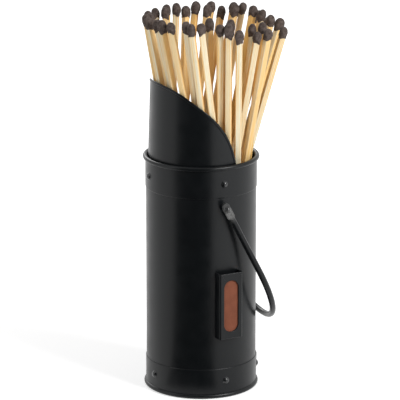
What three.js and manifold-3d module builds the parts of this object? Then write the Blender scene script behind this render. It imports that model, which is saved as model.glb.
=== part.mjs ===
// A fireside match holder in black sheet steel, after the form of a coal hod: a riveted tube with a
// scoop-shaped hood in its mouth, a bail handle on two pivots, a striker pocket on the front, and long
// matches standing in it. Millimetres, +Z up. The tube's axis is Z and the table is z = 0. The pivots and
// the striker face the front, -Y, and the scoop opens towards +X. Azimuths are degrees from the front
// towards +X.
import * as THREE from "three";
import { mergeVertices } from "three/addons/utils/BufferGeometryUtils.js";
import Module from "manifold-3d";

const wasm = await Module();
wasm.setup();

// Driving dimensions of the sheet-metal body
const TUBE_RADIUS = 40;
const SHEET = 0.8;
const BAND_SHEET = 0.4;
const BAND_CLEARANCE = 0.1;
const GAP = 0.3;
const ROUND_SIDES = 40;
const SMALL_SIDES = 8;
const TOP_BEAD_HEIGHT = 172.4;
const TOP_BEAD_RING = 40.5;
const TOP_BAND_FOOT = 150.2;
const BOTTOM_BEAD_HEIGHT = 1.8;
const BOTTOM_BEAD_RING = 40.1;
const BOTTOM_BAND_TOP = 22.3;
const BEAD_RADIUS = 1.7;
const CURL_END = 225;
const BEAD_STEPS = 8;
const PAN_FLANGE_HEIGHT = 17;
const PAN_STEP_HEIGHT = 3.7;

// Rivets of the bands
const TOP_RIVET_HEIGHT = 160.4;
const BOTTOM_RIVET_HEIGHT = 12.8;
const TOP_RIVETS = { front: 0, right: 90, rear: 180, left: 267 };
const BOTTOM_RIVETS = { front: 2, seam: 73, rear: 182, left: 278 };
const RIVET_HEAD_RADIUS = 2.6;
const RIVET_HEAD_RISE = 1.55;
const RIVET_SHANK_RADIUS = 1.2;
const RIVET_TAIL_RADIUS = 1.9;
const RIVET_TAIL_RISE = 0.8;
const RIVET_DOME = [[1, 0], [0.9, 0.5], [0.55, 0.88], [0, 1]];

// Scoop hood: a cone's radius where it passes the rim, its taper, and the side view of its cut edge, which
// runs up a straight side, round a bend and up a slope that levels out towards the back
const HOOD_SHEET = 0.7;
const HOOD_FOOT = 150;
const HOOD_RIM_RADIUS = 38.35;
const HOOD_TAPER = 0.03;
const HOOD_SIDE_X = 11.8;
const HOOD_SIDE_TOP = 160;
const HOOD_BEND_END = { x: -12.3, z: 213 };
const HOOD_SLOPE = 0.84;
const HOOD_BACK_X = -25;
const HOOD_CUT_REACH = 48;
const HOOD_BEND_STEPS = 10;

// Bail handle, in its own plane, and its pivots
const BAIL_ARM_SPREAD = 44.8;
const BAIL_ARM_LENGTH = 56;
const BAIL_BOW_DEPTH = 52;
const BAIL_ROD_RADIUS = 2.25;
const BAIL_REST_ANGLE = 27.5;
const BAIL_STEPS = 30;
const BAIL_BOW_SHARE = 0.6;
const PIVOT_HEIGHT = 143;
const PADDLE = { width: 5.7, above: 5.2, below: 6.9, lap: 2.9, thickness: 2.2 };
const PIVOT_HEAD_RADIUS = 2.3;
const PIVOT_HEAD_RISE = 1.6;
const PIVOT_SHANK_RADIUS = 1.4;
const SPACER_RADIUS = 3.2;

// Striker pocket on the front of the tube
const STRIKER_AZIMUTH = 3.5;
const FRAME_WIDTH = 18.3;
const FRAME_FOOT = 46.2;
const FRAME_TOP = 95.4;
const FRAME_STANDOFF = 6.4;
const WINDOW_WIDTH = 11.5;
const WINDOW_FOOT = 51.6;
const WINDOW_TOP = 90.1;
const TAB_MIDDLES = [54.2, 81.3];
const TAB_HEIGHT = 5;
const TAB_REACH = 2.4;
const TAB_LIP = 3;
const CARD_THICKNESS = 1;
const CARD_DROP = 2.5;

// Matches: size, and how they stand in the tube
const MATCH_LENGTH = 280;
const MATCH_SIDE = 4.4;
const MATCH_HEAD_RADIUS = 3.4;
const MATCH_HEAD_LENGTH = 9;
const MATCH_SIDES = 8;
const HEAD_SWELL = [[0.1, 0.9], [0.32, 1], [0.6, 0.94], [0.85, 0.62]];
const FOOT_HEIGHT = 2.1;
const HEAD_HEIGHT = 268;
const DRAWN_HEIGHT = 500;
const STICK_SPACING = 6.9;
const HEAD_SPACING = 7.3;
const WELL_RADIUS = 33;
const LEAN_RADIUS = 35.6;
const HOOD_CLEARANCE = 3.3;
const FOOT_RADIUS = 30;
const TWIST = 105;
const SETTLING_ROUNDS = 4000;
const FIRST_PULL = 0.08;
const HEAD_GIVE = 0.4;

// Where each match head stands, seen from above: azimuth in degrees and reach from the axis in millimetres.
// They run round the fan from the front past the scoop's low side, and end with the sheaf in the hood.
const MATCH_HEADS = [
  [0, 43], [7, 50], [16, 37], [10, 57], [23, 50], [32, 48], [27, 57],
  [36, 62], [55, 56], [57, 68], [78, 60], [92, 68], [101, 56], [109, 69],
  [106, 47], [116, 47], [121, 57], [132, 46], [138, 52], [145, 60], [149, 43],
  [157, 50], [168, 44], [182, 46], [194, 42], [206, 33], [211, 43], [226, 46],
  [246, 45], [239, 52], [263, 52], [278, 46], [290, 36], [300, 44], [312, 38],
  [327, 39], [335, 48], [345, 32], [352, 42],
];

const steel = new THREE.MeshStandardMaterial({ color: 0x1b1c1e, roughness: 0.45, metalness: 0.3 });
const card = new THREE.MeshStandardMaterial({ color: 0x87523e, roughness: 0.95, metalness: 0 });
const board = new THREE.MeshStandardMaterial({ color: 0x3a3532, roughness: 0.9, metalness: 0 });
const wood = new THREE.MeshStandardMaterial({ color: 0xe4c894, roughness: 0.8, metalness: 0 });

const holder = new THREE.Group();

/** Adds a named mesh to a group. */
function addPiece(group, name, geometry, material) {
  const mesh = new THREE.Mesh(geometry, material);
  mesh.name = name;
  group.add(mesh);
  return mesh;
}

/** A group turned about Z, whose own -Y side looks along an azimuth. */
function facing(azimuth) {
  const group = new THREE.Group();
  group.rotation.z = THREE.MathUtils.degToRad(azimuth);
  holder.add(group);
  return group;
}

/** A closed solid for booleans, made from a geometry whose shared corners are merged. */
function toSolid(geometry) {
  const bare = new THREE.BufferGeometry();
  bare.setAttribute("position", geometry.getAttribute("position"));
  bare.setIndex(geometry.getIndex());
  const merged = mergeVertices(bare, 1e-4);
  const vertProperties = merged.getAttribute("position").array;
  const triVerts = new Uint32Array(merged.getIndex().array);
  return new wasm.Manifold(new wasm.Mesh({ numProp: 3, vertProperties, triVerts }));
}

/** The geometry of a solid that booleans have made. */
function toGeometry(solid) {
  const mesh = solid.getMesh();
  const geometry = new THREE.BufferGeometry();
  geometry.setAttribute("position", new THREE.BufferAttribute(mesh.vertProperties, 3));
  geometry.setIndex(new THREE.BufferAttribute(mesh.triVerts, 1));
  return geometry;
}

/** A round piece about Z from its outline in (radius, height), which runs anticlockwise. */
function turned(outline, sides) {
  const closed = outline[0][0] > 0 ? [...outline, outline[0]] : outline;
  const points = closed.map(([radius, height]) => new THREE.Vector2(radius, height));
  return new THREE.LatheGeometry(points, sides).rotateX(Math.PI / 2);
}

/** A round piece whose axis points out of the tube at the front: heights are distances from the axis. */
function turnedOutward(outline, sides, height) {
  return turned(outline, sides).rotateX(Math.PI / 2).translate(0, 0, height);
}

/** A round hole through the tube's wall at an azimuth and height. */
function wallHole(radius, azimuth, height) {
  const length = TUBE_RADIUS / 2;
  const hole = new THREE.CylinderGeometry(radius, radius, length, SMALL_SIDES);
  hole.translate(0, -TUBE_RADIUS, 0).rotateZ(THREE.MathUtils.degToRad(azimuth));
  return toSolid(hole.translate(0, 0, height));
}

/** A solid less the rivet holes of a set of azimuths. */
function drilled(solid, azimuths, height, shankRadius) {
  let left = solid;
  for (const azimuth of azimuths) left = left.subtract(wallHole(shankRadius + GAP, azimuth, height));
  return left;
}

/** Points on an arc in (radius, height), from one angle to another in degrees. */
function arc(centre, radius, from, to, steps) {
  const points = [];
  for (let i = 0; i <= steps; i++) {
    const angle = THREE.MathUtils.degToRad(from + ((to - from) * i) / steps);
    points.push([centre[0] + radius * Math.cos(angle), centre[1] + radius * Math.sin(angle)]);
  }
  return points;
}

/** Outline of a flat band whose edge is rolled into a bead. It is drawn with the bead on top. */
function bandOutline(beadRing, beadHeight, edgeHeight) {
  const inside = TUBE_RADIUS + BAND_CLEARANCE;
  const outside = inside + BAND_SHEET;
  const hollow = BEAD_RADIUS - BAND_SHEET;
  const centre = [beadRing, beadHeight];
  const outerStart = THREE.MathUtils.radToDeg(Math.asin((outside - beadRing) / BEAD_RADIUS)) - 90;
  const innerEnd = THREE.MathUtils.radToDeg(Math.asin((inside - beadRing) / hollow)) - 90;
  return [
    [outside, edgeHeight],
    ...arc(centre, BEAD_RADIUS, outerStart, CURL_END, BEAD_STEPS),
    ...arc(centre, hollow, CURL_END, innerEnd, BEAD_STEPS),
    [inside, edgeHeight],
  ];
}

/** The same outline upside down, still anticlockwise. */
function upsideDown(outline) {
  return outline.map(([radius, height]) => [radius, -height]).reverse();
}

// Body tube: one rolled sheet, drilled for the rivets and slotted for the striker's tabs
const tubeFoot = BOTTOM_BEAD_HEIGHT + BEAD_RADIUS + GAP;
const tubeTop = TOP_BEAD_HEIGHT - BEAD_RADIUS - GAP;
const tubeBore = TUBE_RADIUS - SHEET;
const frameFront = TUBE_RADIUS + FRAME_STANDOFF;
const tabReach = tubeBore - TAB_REACH;

/** A block given by its corners. */
function block(low, high) {
  const size = high.map((value, i) => value - low[i]);
  const middle = high.map((value, i) => (value + low[i]) / 2);
  return new THREE.BoxGeometry(...size).translate(...middle);
}

const tubeWall = [
  [tubeBore, tubeFoot],
  [TUBE_RADIUS, tubeFoot],
  [TUBE_RADIUS, tubeTop],
  [tubeBore, tubeTop],
];
let tube = toSolid(turned(tubeWall, ROUND_SIDES));
tube = drilled(tube, Object.values(TOP_RIVETS), TOP_RIVET_HEIGHT, RIVET_SHANK_RADIUS);
tube = drilled(tube, Object.values(BOTTOM_RIVETS), BOTTOM_RIVET_HEIGHT, RIVET_SHANK_RADIUS);
tube = drilled(tube, [0, 180], PIVOT_HEIGHT, PIVOT_SHANK_RADIUS);
for (const side of [-1, 1]) {
  for (const height of TAB_MIDDLES) {
    const middle = (side * (FRAME_WIDTH - SHEET)) / 2;
    const halfSlot = SHEET / 2 + GAP;
    const slot = block(
      [middle - halfSlot, -frameFront, height - TAB_HEIGHT / 2 - GAP],
      [middle + halfSlot, -tabReach, height + TAB_HEIGHT / 2 + GAP],
    );
    tube = tube.subtract(toSolid(slot.rotateZ(THREE.MathUtils.degToRad(STRIKER_AZIMUTH))));
  }
}
addPiece(holder, "body_tube", toGeometry(tube), steel);

// Base pan: a pressed disc whose flange steps out past the bead and is riveted inside the tube's foot
const panRadius = tubeBore - GAP;
const panFloorRadius = BOTTOM_BEAD_RING - BEAD_RADIUS - GAP;
const pan = turned(
  [
    [0, 0],
    [panFloorRadius, 0],
    [panFloorRadius, PAN_STEP_HEIGHT],
    [panRadius, PAN_STEP_HEIGHT + SHEET],
    [panRadius, PAN_FLANGE_HEIGHT],
    [panRadius - SHEET, PAN_FLANGE_HEIGHT],
    [panRadius - SHEET, PAN_STEP_HEIGHT + SHEET + GAP],
    [panFloorRadius - SHEET, PAN_STEP_HEIGHT + GAP],
    [panFloorRadius - SHEET, SHEET],
    [0, SHEET],
  ],
  ROUND_SIDES,
);
const panDrilled = drilled(
  toSolid(pan),
  Object.values(BOTTOM_RIVETS),
  BOTTOM_RIVET_HEIGHT,
  RIVET_SHANK_RADIUS,
);
addPiece(holder, "base_pan", toGeometry(panDrilled), steel);

// Bands: flat hoops round the tube's two ends, each with its outer edge rolled into a bead
const topOutline = bandOutline(TOP_BEAD_RING, TOP_BEAD_HEIGHT, TOP_BAND_FOOT);
const topBand = drilled(
  toSolid(turned(topOutline, ROUND_SIDES)),
  Object.values(TOP_RIVETS),
  TOP_RIVET_HEIGHT,
  RIVET_SHANK_RADIUS,
);
addPiece(holder, "top_band", toGeometry(topBand), steel);
const bottomOutline = upsideDown(bandOutline(BOTTOM_BEAD_RING, -BOTTOM_BEAD_HEIGHT, -BOTTOM_BAND_TOP));
const bottomBand = drilled(
  toSolid(turned(bottomOutline, ROUND_SIDES)),
  Object.values(BOTTOM_RIVETS),
  BOTTOM_RIVET_HEIGHT,
  RIVET_SHANK_RADIUS,
);
addPiece(holder, "bottom_band", toGeometry(bottomBand), steel);

// Scoop hood: part of a cone, cut to its side view
const slopeHeight = (x) => HOOD_BEND_END.z + HOOD_SLOPE * (HOOD_BEND_END.x - x);
const hoodLevelX = (HOOD_BACK_X - HOOD_CUT_REACH) / 2;
const hoodTop = slopeHeight(hoodLevelX);
const hoodRadius = (height) => HOOD_RIM_RADIUS - HOOD_TAPER * (height - TOP_BEAD_HEIGHT);
const hoodCone = turned(
  [
    [hoodRadius(HOOD_FOOT) - HOOD_SHEET, HOOD_FOOT],
    [hoodRadius(HOOD_FOOT), HOOD_FOOT],
    [hoodRadius(hoodTop), hoodTop],
    [hoodRadius(hoodTop) - HOOD_SHEET, hoodTop],
  ],
  ROUND_SIDES,
);
const hoodBendControl = HOOD_BEND_END.z - HOOD_SLOPE * (HOOD_SIDE_X - HOOD_BEND_END.x);
const hoodBend = new THREE.QuadraticBezierCurve(
  new THREE.Vector2(HOOD_SIDE_X, HOOD_SIDE_TOP),
  new THREE.Vector2(HOOD_SIDE_X, hoodBendControl),
  new THREE.Vector2(HOOD_BEND_END.x, HOOD_BEND_END.z),
);
const hoodBack = new THREE.QuadraticBezierCurve(
  new THREE.Vector2(HOOD_BACK_X, slopeHeight(HOOD_BACK_X)),
  new THREE.Vector2(hoodLevelX, hoodTop),
  new THREE.Vector2(-HOOD_CUT_REACH, hoodTop),
);
const hoodEdge = [...hoodBend.getPoints(HOOD_BEND_STEPS), ...hoodBack.getPoints(HOOD_BEND_STEPS)];
const hoodSide = new THREE.Shape([
  new THREE.Vector2(-HOOD_CUT_REACH, HOOD_FOOT - SHEET),
  new THREE.Vector2(HOOD_SIDE_X, HOOD_FOOT - SHEET),
  ...hoodEdge,
]);
const hoodCutter = new THREE.ExtrudeGeometry(hoodSide, { depth: 2 * HOOD_CUT_REACH, bevelEnabled: false });
hoodCutter.translate(0, 0, -HOOD_CUT_REACH).rotateX(Math.PI / 2);
const hood = toSolid(hoodCone).intersect(toSolid(hoodCutter));
const hoodAzimuths = [TOP_RIVETS.front, TOP_RIVETS.rear, TOP_RIVETS.left];
const hoodDrilled = drilled(hood, hoodAzimuths, TOP_RIVET_HEIGHT, RIVET_SHANK_RADIUS);
addPiece(holder, "scoop_hood", toGeometry(hoodDrilled), steel);

/** A round-head rivet, from its tail inside the wall to its domed head outside. */
function rivet(seat, innerSeat, height, head, shankRadius) {
  const outline = [
    [0, innerSeat - RIVET_TAIL_RISE],
    [shankRadius, innerSeat - RIVET_TAIL_RISE],
    [head.tail, innerSeat],
    [shankRadius, innerSeat],
    [shankRadius, seat],
    ...RIVET_DOME.map(([across, up]) => [across * head.radius, seat + up * head.rise]),
  ];
  return turnedOutward(outline, SMALL_SIDES, height);
}

// Band rivets: the top ones also hold the hood, the bottom ones also hold the base pan
const bandRivetHead = { radius: RIVET_HEAD_RADIUS, rise: RIVET_HEAD_RISE, tail: RIVET_TAIL_RADIUS };
const bandSeat = TUBE_RADIUS + BAND_CLEARANCE + BAND_SHEET + GAP;
const hoodSeat = hoodRadius(TOP_RIVET_HEIGHT) - HOOD_SHEET - GAP;
for (const [place, azimuth] of Object.entries(TOP_RIVETS)) {
  const innerSeat = hoodAzimuths.includes(azimuth) ? hoodSeat : tubeBore - GAP;
  const shape = rivet(bandSeat, innerSeat, TOP_RIVET_HEIGHT, bandRivetHead, RIVET_SHANK_RADIUS);
  addPiece(facing(azimuth), `top_band_rivet_${place}`, shape, steel);
}
for (const [place, azimuth] of Object.entries(BOTTOM_RIVETS)) {
  const innerSeat = panRadius - SHEET - GAP;
  const shape = rivet(bandSeat, innerSeat, BOTTOM_RIVET_HEIGHT, bandRivetHead, RIVET_SHANK_RADIUS);
  addPiece(facing(azimuth), `bottom_band_rivet_${place}`, shape, steel);
}

// Bail pivots: a spacer outside the wall, and the rivet that the bail's end turns on
const paddleInside = BAIL_ARM_SPREAD - PADDLE.thickness / 2;
const paddleOutside = BAIL_ARM_SPREAD + PADDLE.thickness / 2;
const pivotHead = { radius: PIVOT_HEAD_RADIUS, rise: PIVOT_HEAD_RISE, tail: RIVET_TAIL_RADIUS + GAP };
const spacerHole = PIVOT_SHANK_RADIUS + GAP;
const spacerOutline = [
  [spacerHole, TUBE_RADIUS + GAP],
  [SPACER_RADIUS, TUBE_RADIUS + GAP],
  [SPACER_RADIUS, paddleInside - GAP],
  [spacerHole, paddleInside - GAP],
];
for (const [place, azimuth] of [["front", 0], ["rear", 180]]) {
  const side = facing(azimuth);
  const shape = rivet(paddleOutside + GAP, tubeBore - 2 * GAP, PIVOT_HEIGHT, pivotHead, PIVOT_SHANK_RADIUS);
  addPiece(side, `pivot_rivet_${place}`, shape, steel);
  const spacer = turnedOutward(spacerOutline, 2 * SMALL_SIDES, PIVOT_HEIGHT);
  addPiece(side, `pivot_spacer_${place}`, spacer, steel);
}

/** The bail's centre line in its own plane: an arm, half an ellipse, the other arm. It hangs along -Z. */
class BailLine extends THREE.Curve {
  getPoint(t, target = new THREE.Vector3()) {
    const armShare = (1 - BAIL_BOW_SHARE) / 2;
    const armStart = PADDLE.below - PADDLE.lap;
    if (t < armShare || t > 1 - armShare) {
      const side = t < armShare ? -1 : 1;
      const along = Math.min(t, 1 - t) / armShare;
      const drop = armStart + (BAIL_ARM_LENGTH - armStart) * along;
      return target.set(0, side * BAIL_ARM_SPREAD, -drop);
    }
    const angle = (Math.PI * (t - armShare)) / BAIL_BOW_SHARE;
    const drop = BAIL_ARM_LENGTH + BAIL_BOW_DEPTH * Math.sin(angle);
    return target.set(0, -BAIL_ARM_SPREAD * Math.cos(angle), -drop);
  }
}

/** The flattened end of the bail rod: a plate with a pivot hole. */
function paddle(side) {
  const { width, above, below, thickness } = PADDLE;
  const outline = new THREE.Shape();
  outline.moveTo(-width / 2, -below);
  outline.lineTo(width / 2, -below);
  outline.lineTo(width / 2, above - width / 3);
  outline.lineTo(width / 4, above);
  outline.lineTo(-width / 4, above);
  outline.lineTo(-width / 2, above - width / 3);
  const hole = new THREE.Path();
  hole.absarc(0, 0, PIVOT_SHANK_RADIUS + GAP, 0, 2 * Math.PI);
  outline.holes.push(hole);
  const solid = { depth: thickness, bevelEnabled: false, curveSegments: SMALL_SIDES };
  const plate = new THREE.ExtrudeGeometry(outline, solid);
  plate.translate(0, 0, -thickness / 2).rotateX(Math.PI / 2);
  return plate.translate(0, side * BAIL_ARM_SPREAD, 0);
}

// Bail handle: a round rod bent to a U, its ends flattened and punched for the pivots
const rodSection = new THREE.Shape();
rodSection.absarc(0, 0, BAIL_ROD_RADIUS, 0, 2 * Math.PI);
const rod = new THREE.ExtrudeGeometry(rodSection, {
  steps: BAIL_STEPS,
  extrudePath: new BailLine(),
  curveSegments: SMALL_SIDES,
});
const bailSolid = toSolid(rod).add(toSolid(paddle(-1))).add(toSolid(paddle(1)));
const bail = addPiece(holder, "bail_handle", toGeometry(bailSolid), steel);
bail.position.z = PIVOT_HEIGHT;
bail.rotation.y = -THREE.MathUtils.degToRad(BAIL_REST_ANGLE);

// Striker frame: a folded pocket with a round-ended window, held by four tabs bent over inside the tube
const striker = facing(STRIKER_AZIMUTH);
const frameFace = new THREE.Shape();
const halfFrame = FRAME_WIDTH / 2;
frameFace.moveTo(-halfFrame, FRAME_FOOT);
frameFace.lineTo(halfFrame, FRAME_FOOT);
frameFace.lineTo(halfFrame, FRAME_TOP);
frameFace.lineTo(-halfFrame, FRAME_TOP);
const windowPath = new THREE.Path();
const windowRound = WINDOW_WIDTH / 2;
windowPath.absarc(0, WINDOW_FOOT + windowRound, windowRound, Math.PI, 2 * Math.PI);
windowPath.absarc(0, WINDOW_TOP - windowRound, windowRound, 0, Math.PI);
frameFace.holes.push(windowPath);
const faceSolid = { depth: SHEET, bevelEnabled: false, curveSegments: SMALL_SIDES };
const facePlate = new THREE.ExtrudeGeometry(frameFace, faceSolid);
facePlate.rotateX(Math.PI / 2).translate(0, SHEET - frameFront, 0);
const sideFoot = Math.sqrt(TUBE_RADIUS ** 2 - (halfFrame - SHEET) ** 2) + GAP;
let frame = toSolid(facePlate);
const frameFloor = [
  [-halfFrame, -frameFront, FRAME_FOOT],
  [halfFrame, -TUBE_RADIUS - GAP, FRAME_FOOT + SHEET],
];
frame = frame.add(toSolid(block(...frameFloor)));
for (const side of [-1, 1]) {
  const spanFrom = (inner) => [inner, halfFrame].map((x) => side * x).sort((a, b) => a - b);
  const [left, right] = spanFrom(halfFrame - SHEET);
  const [lipLeft, lipRight] = spanFrom(halfFrame - SHEET - TAB_LIP);
  frame = frame.add(toSolid(block([left, -frameFront, FRAME_FOOT], [right, -sideFoot, FRAME_TOP])));
  for (const height of TAB_MIDDLES) {
    const [low, high] = [height - TAB_HEIGHT / 2, height + TAB_HEIGHT / 2];
    frame = frame.add(toSolid(block([left, -frameFront, low], [right, -tabReach, high])));
    frame = frame.add(toSolid(block([lipLeft, -tabReach - SHEET, low], [lipRight, -tabReach, high])));
  }
}
addPiece(striker, "striker_frame", toGeometry(frame), steel);

// Striker card and its backing: they stand in the pocket and lift out together
const insertHalf = halfFrame - SHEET - GAP;
const insertFoot = FRAME_FOOT + SHEET + GAP;
const insertTop = FRAME_TOP - CARD_DROP;
const cardFront = frameFront - SHEET - GAP;
const backingFront = cardFront - CARD_THICKNESS;
const cardShape = block([-insertHalf, -cardFront, insertFoot], [insertHalf, -backingFront, insertTop]);
addPiece(striker, "striker_card", cardShape, card);
const backingShape = block(
  [-insertHalf, -backingFront + GAP / 3, insertFoot],
  [insertHalf, -TUBE_RADIUS - GAP, insertTop],
);
addPiece(striker, "striker_backing", backingShape, board);

/** Height of the edge a match leans over, the hood's or the rim's, at a place across the tube. */
function edgeHeight(x) {
  if (x > HOOD_SIDE_X) return TOP_BEAD_HEIGHT + BEAD_RADIUS;
  const next = hoodEdge.findIndex((point) => point.x <= x);
  const above = hoodEdge[Math.max(next, 1)];
  const below = hoodEdge[Math.max(next, 1) - 1];
  const share = (below.x - x) / Math.max(below.x - above.x, 1e-6);
  return below.y + share * (above.y - below.y);
}

/** A match as a straight line from its foot on the pan to the middle of its head, both seen from above. */
function standMatch([azimuth, reach]) {
  const angle = THREE.MathUtils.degToRad(azimuth);
  const footAngle = angle + THREE.MathUtils.degToRad(TWIST);
  const target = new THREE.Vector2(reach * Math.sin(angle), -reach * Math.cos(angle));
  const foot = new THREE.Vector2(FOOT_RADIUS * Math.sin(footAngle), -FOOT_RADIUS * Math.cos(footAngle));
  return { foot, head: target.clone(), target };
}

/** How far up a match a height is: 0 at the foot, 1 at the head. */
const shareAt = (height) => (height - FOOT_HEIGHT) / (HEAD_HEIGHT - FOOT_HEIGHT);

/** Moves a match so that its point at a height shifts by a step. The foot gives way more than the head. */
function shift(match, height, step) {
  const share = shareAt(height);
  const scale = 1 / ((1 - share) ** 2 + HEAD_GIVE * share ** 2);
  match.foot.addScaledVector(step, (1 - share) * scale);
  match.head.addScaledVector(step, HEAD_GIVE * share * scale);
}

/** Pushes two matches apart where their lines pass closest, up to the height that drawing one out sweeps. */
function separate(one, other) {
  const base = one.foot.clone().sub(other.foot);
  const run = one.head.clone().sub(other.head).sub(base);
  const closest = run.lengthSq() > 0 ? -base.dot(run) / run.lengthSq() : 0;
  const share = THREE.MathUtils.clamp(closest, 0, shareAt(DRAWN_HEIGHT));
  const height = FOOT_HEIGHT + share * (HEAD_HEIGHT - FOOT_HEIGHT);
  const between = base.addScaledVector(run, share);
  const wanted = height > HEAD_HEIGHT - 3 * MATCH_HEAD_LENGTH ? HEAD_SPACING : STICK_SPACING;
  const short = wanted - between.length();
  if (short <= 0) return;
  between.setLength(short / 2);
  shift(one, Math.min(height, HEAD_HEIGHT), between);
  shift(other, Math.min(height, HEAD_HEIGHT), between.negate());
}

/** Keeps a match inside the tube, and inside the hood as far up as the hood's edge beside it. */
function contain(match) {
  match.foot.clampLength(0, WELL_RADIUS);
  for (let height = TOP_BEAD_HEIGHT + BEAD_RADIUS; height < HEAD_HEIGHT; height += MATCH_SIDE) {
    const place = match.foot.clone().lerp(match.head, shareAt(height));
    if (height > edgeHeight(place.x) + MATCH_SIDE) return;
    const besideHood = place.x < HOOD_SIDE_X + MATCH_SIDE;
    const room = besideHood ? hoodRadius(height) - HOOD_SHEET - HOOD_CLEARANCE : LEAN_RADIUS;
    const over = place.length() - room;
    if (over > 0) shift(match, height, place.setLength(-over));
  }
}

const matches = MATCH_HEADS.map(standMatch);
for (let round = 0; round < SETTLING_ROUNDS; round++) {
  const pull = FIRST_PULL * (1 - round / SETTLING_ROUNDS);
  for (const match of matches) match.head.lerp(match.target, pull);
  matches.forEach((one, i) => matches.slice(i + 1).forEach((other) => separate(one, other)));
  matches.forEach(contain);
}

/** A match along +Z: a square stick, then rings that swell and close to the head's rounded tip. */
function matchShape() {
  const half = MATCH_SIDE / 2;
  const neck = MATCH_LENGTH - MATCH_HEAD_LENGTH;
  const square = Array.from({ length: MATCH_SIDES }, (_, i) => {
    const angle = (2 * Math.PI * i) / MATCH_SIDES;
    const reach = half / Math.max(Math.abs(Math.cos(angle)), Math.abs(Math.sin(angle)));
    return [reach * Math.cos(angle), reach * Math.sin(angle)];
  });
  const round = (radius) => square.map(([x, y]) => {
    const scale = radius / Math.hypot(x, y);
    return [x * scale, y * scale];
  });
  const rings = [[0, square], [neck, square]];
  for (const [share, swell] of HEAD_SWELL) {
    rings.push([neck + share * MATCH_HEAD_LENGTH, round(swell * MATCH_HEAD_RADIUS)]);
  }
  const positions = [];
  const faces = [];
  for (const [height, ring] of rings) for (const [x, y] of ring) positions.push(x, y, height);
  const last = (rings.length - 1) * MATCH_SIDES;
  const footMiddle = rings.length * MATCH_SIDES;
  positions.push(0, 0, 0, 0, 0, MATCH_LENGTH);
  for (let i = 0; i < MATCH_SIDES; i++) {
    const next = (i + 1) % MATCH_SIDES;
    for (let low = 0; low < last; low += MATCH_SIDES) {
      const high = low + MATCH_SIDES;
      faces.push(low + i, low + next, high + next, low + i, high + next, high + i);
    }
    faces.push(footMiddle, next, i, footMiddle + 1, last + i, last + next);
  }
  const geometry = new THREE.BufferGeometry();
  geometry.setAttribute("position", new THREE.Float32BufferAttribute(positions, 3));
  geometry.setIndex(faces);
  return geometry;
}

// Matches: each stands on the pan, leans over the hood's edge or the rim, and twists past its neighbours
matches.forEach(({ foot, head }, i) => {
  const name = `match_${String(i + 1).padStart(2, "0")}`;
  const mesh = addPiece(holder, name, matchShape(), wood);
  const lean = new THREE.Vector3(head.x - foot.x, head.y - foot.y, HEAD_HEIGHT - FOOT_HEIGHT).normalize();
  mesh.position.set(foot.x, foot.y, FOOT_HEIGHT);
  mesh.quaternion.setFromUnitVectors(new THREE.Vector3(0, 0, 1), lean);
});

export default holder;
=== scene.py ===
"""Looks of a fireside match holder: coated sheet steel, a bail handle, a striker pocket and long matches."""

import math

import bmesh
import bpy
import numpy as np
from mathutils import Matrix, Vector


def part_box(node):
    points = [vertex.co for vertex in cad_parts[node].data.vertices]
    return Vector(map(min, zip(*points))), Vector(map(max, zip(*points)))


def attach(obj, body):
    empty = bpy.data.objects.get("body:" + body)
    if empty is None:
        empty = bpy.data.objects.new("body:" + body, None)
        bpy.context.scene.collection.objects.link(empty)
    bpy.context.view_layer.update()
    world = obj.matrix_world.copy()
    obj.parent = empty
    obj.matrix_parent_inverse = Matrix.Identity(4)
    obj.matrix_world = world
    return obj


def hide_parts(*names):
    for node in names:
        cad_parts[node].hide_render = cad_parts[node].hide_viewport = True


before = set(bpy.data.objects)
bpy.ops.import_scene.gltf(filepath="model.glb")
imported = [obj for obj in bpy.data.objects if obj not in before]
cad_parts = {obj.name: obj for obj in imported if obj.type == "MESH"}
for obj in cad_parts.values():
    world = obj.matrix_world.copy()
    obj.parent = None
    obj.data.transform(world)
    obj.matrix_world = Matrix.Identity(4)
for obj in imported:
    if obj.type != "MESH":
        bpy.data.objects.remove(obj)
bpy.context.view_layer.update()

# Body tube
# One steel sheet rolled into a tube, its edges folded together in a flat seam at the back, and coated with
# satin black powder, which lies smooth with a faint orange-peel texture. The bands cover both of its ends.
MM = 0.001
SHEET = 0.8 * MM
tube_low, tube_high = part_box("body_tube")
TUBE_RADIUS = tube_high[0]
TUBE_BORE = TUBE_RADIUS - SHEET
ROUND_STEPS, FINE_STEPS = 180, 720
around = np.radians(np.linspace(0, 360, ROUND_STEPS + 1))
fine_turns = np.linspace(0, 360, FINE_STEPS + 1)


def arc(centre, radius, start, end, count):
    """Points of a circle's arc in a plane, from one angle to another in degrees."""
    turn = np.radians(np.linspace(start, end, count))
    return np.stack([centre[0] + radius * np.cos(turn), centre[1] + radius * np.sin(turn)], axis=-1)


def turned(outline, azimuths):
    """An outline in (radius, height) carried round the Z axis.
    Azimuth 0 is the front, -Y, and 90 degrees is +X."""
    radius, height = outline[:, :1], outline[:, 1:]
    flat = np.zeros_like(azimuths)
    return np.stack([radius * np.sin(azimuths), -radius * np.cos(azimuths), height + flat], axis=-1)


def closed(outline):
    """An outline with its first point repeated at its end."""
    return np.concatenate([outline, outline[:1]])


def raised(azimuths, middle, half_width, edge):
    """A flat rise over a stretch of azimuths in degrees: 0 outside it, 1 on it, sloped at both ends."""
    marks = middle + np.array([-half_width - edge, -half_width, half_width, half_width + edge])
    return np.interp(azimuths, marks, [0, 1, 1, 0])


MERGE_DISTANCE = 1e-6
STEEL_CREASE = 35


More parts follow.
